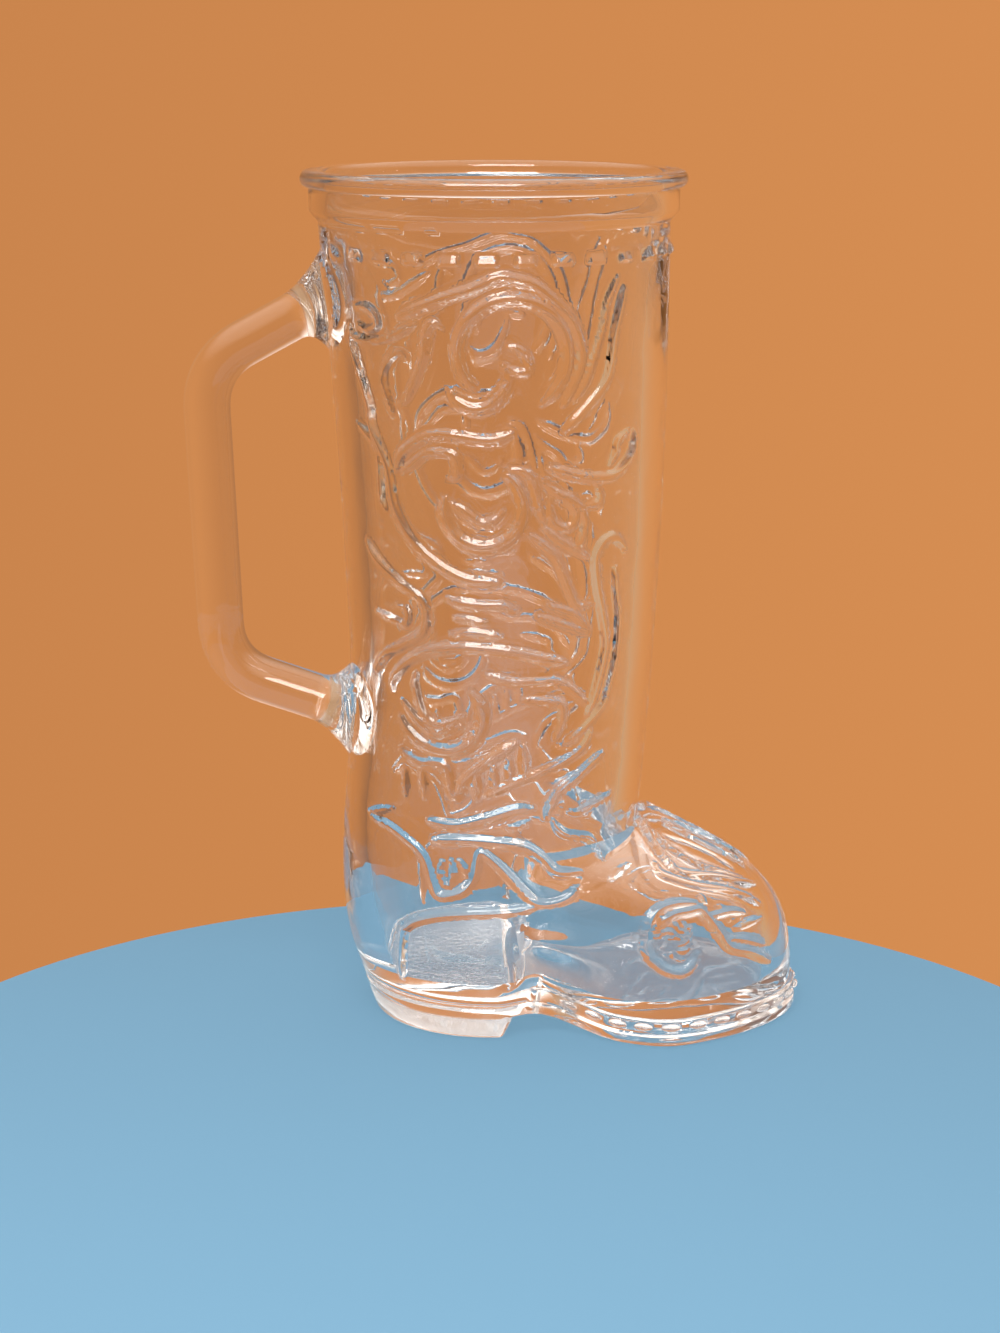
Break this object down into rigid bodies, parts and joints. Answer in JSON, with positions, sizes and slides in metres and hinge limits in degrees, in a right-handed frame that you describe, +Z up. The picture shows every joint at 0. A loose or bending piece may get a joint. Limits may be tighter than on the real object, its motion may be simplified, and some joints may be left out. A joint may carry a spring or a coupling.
{
  "type": "beer boot glass",
  "caption": "Clear glass beer mug shaped like a western boot with raised scroll tooling, a rolled drinking lip, a welted sole, a low heel and a bar handle at the back.",
  "frame": {"origin": "on the table, on the axis of the round collar, which meets the flat underside of the heel", "axes": "+Z up, +X towards the toe, the handle on the -X side, mirror plane at Y = 0"},
  "size_m": [0.1485, 0.09, 0.203],
  "materials": {
    "clear_glass": "clear, fire-polished soda-lime glass"
  },
  "bodies": {
    "root": {"lip": "clear_glass", "collar": "clear_glass", "leg": "clear_glass", "foot": "clear_glass", "welt": "clear_glass", "outsole": "clear_glass", "heel": "clear_glass", "handle": "clear_glass", "stitch_row": "clear_glass", "right_scrolls": "clear_glass", "left_scrolls": "clear_glass", "right_hem": "clear_glass", "left_hem": "clear_glass", "right_vamp_lines": "clear_glass", "left_vamp_lines": "clear_glass", "right_counter_lines": "clear_glass", "left_counter_lines": "clear_glass", "welt_stitches": "clear_glass"}
  },
  "joints": []
}
